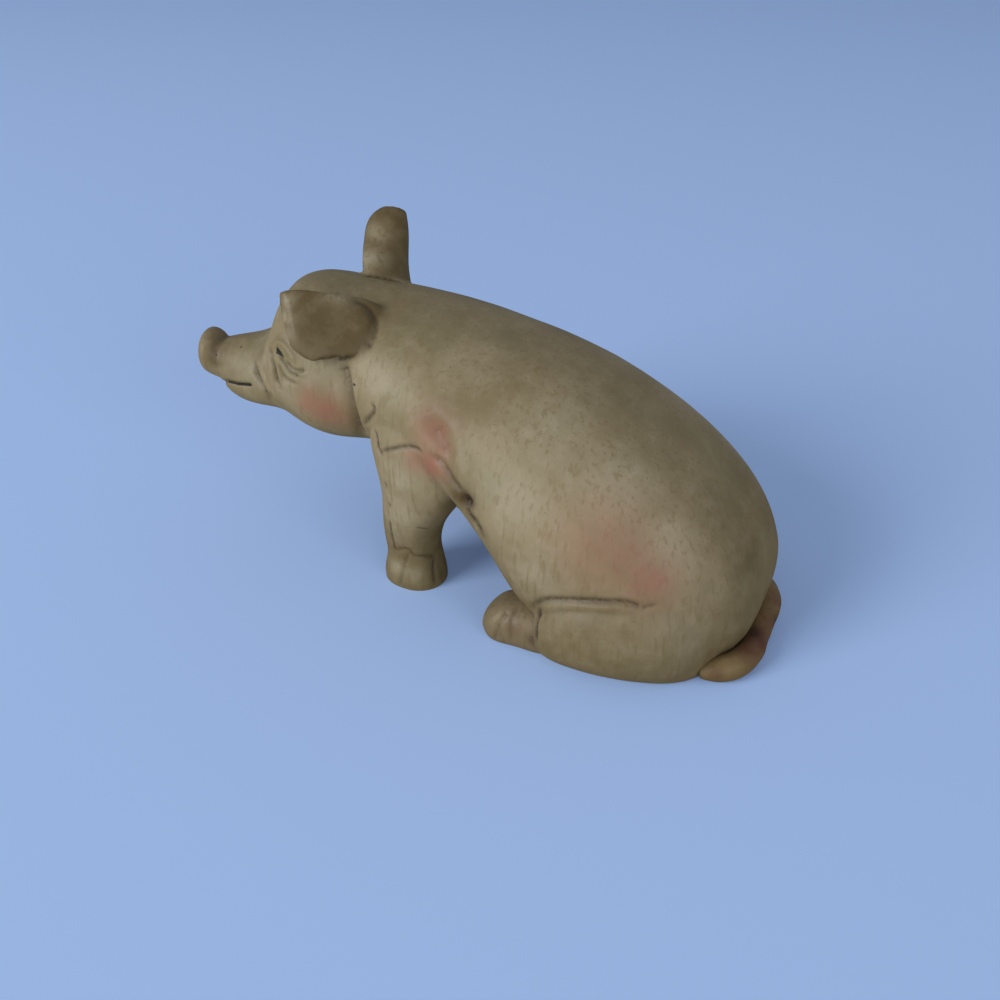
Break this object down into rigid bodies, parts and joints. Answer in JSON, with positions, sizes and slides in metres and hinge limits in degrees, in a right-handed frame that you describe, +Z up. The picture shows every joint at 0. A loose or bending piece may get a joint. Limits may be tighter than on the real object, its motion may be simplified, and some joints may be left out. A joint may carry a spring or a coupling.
{
  "type": "pig figurine",
  "caption": "Sitting pig ornament in painted cast resin, propped on straight forelegs with folded hind legs, raised ears and a tail curled beside the rump.",
  "frame": {"origin": "on the floor, below the middle of the figure's length and width", "axes": "+Z up, snout towards -Y, the pig's left side towards +X"},
  "size_m": [0.0656, 0.1337, 0.0703],
  "materials": {
    "cream_paint": "matt brushed paint on resin",
    "ear_paint": "matt brushed paint on resin",
    "hoof_paint": "matt brushed paint on resin",
    "tail_paint": "matt brushed paint on resin"
  },
  "bodies": {
    "root": {"trunk": "cream_paint", "head": "cream_paint", "left_ear": "ear_paint", "right_ear": "ear_paint", "left_foreleg": "cream_paint", "right_foreleg": "cream_paint", "left_hind_foot": "hoof_paint", "right_hind_foot": "hoof_paint", "tail": "tail_paint"}
  },
  "joints": []
}
